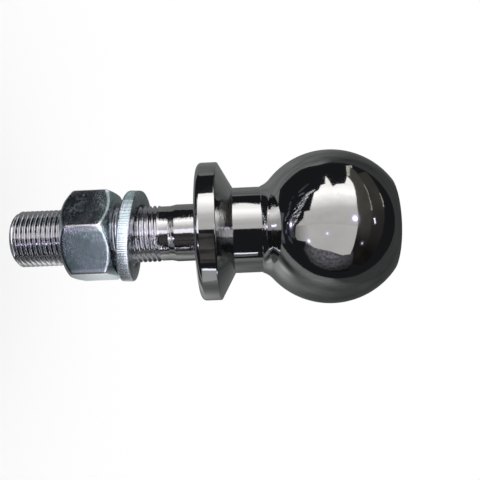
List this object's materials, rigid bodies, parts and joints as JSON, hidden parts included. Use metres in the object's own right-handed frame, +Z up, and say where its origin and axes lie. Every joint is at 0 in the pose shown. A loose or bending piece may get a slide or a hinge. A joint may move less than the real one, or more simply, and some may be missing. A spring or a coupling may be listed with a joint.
{
  "type": "tow ball",
  "caption": "Chromed tow ball with a flanged neck and threaded shank, a split lock washer and a hex nut that screws along the thread.",
  "frame": {"origin": "centre of the flange's seat, where the ball bears on the hitch plate", "axes": "+Z up along the axis of the shank to the ball; -Y is the side that the reference view shows"},
  "size_m": [0.0508, 0.0508, 0.1242],
  "materials": {
    "chrome_plate": "bright chrome plate on forged steel",
    "zinc_plate": "blue-white zinc plate, mottled"
  },
  "bodies": {
    "ball": {"tow_ball": "chrome_plate"},
    "washer": {"lock_washer": "zinc_plate"},
    "nut": {"hex_nut": "zinc_plate"}
  },
  "joints": [
    {"name": "washer_slide", "type": "slide", "parent": "ball", "child": "washer", "axis": [0, 0, 1], "range_m": [-0.0319, 0.016]},
    {"name": "nut_spin", "type": "hinge", "parent": "washer", "child": "nut", "pos_m": [0, 0, 0], "axis": [0, 0, 1], "range_deg": [-7200, 3600]}
  ],
  "couplings": [
    {"joint": "washer_slide", "follows": "nut_spin", "m_per_rad": 0.00025266}
  ]
}
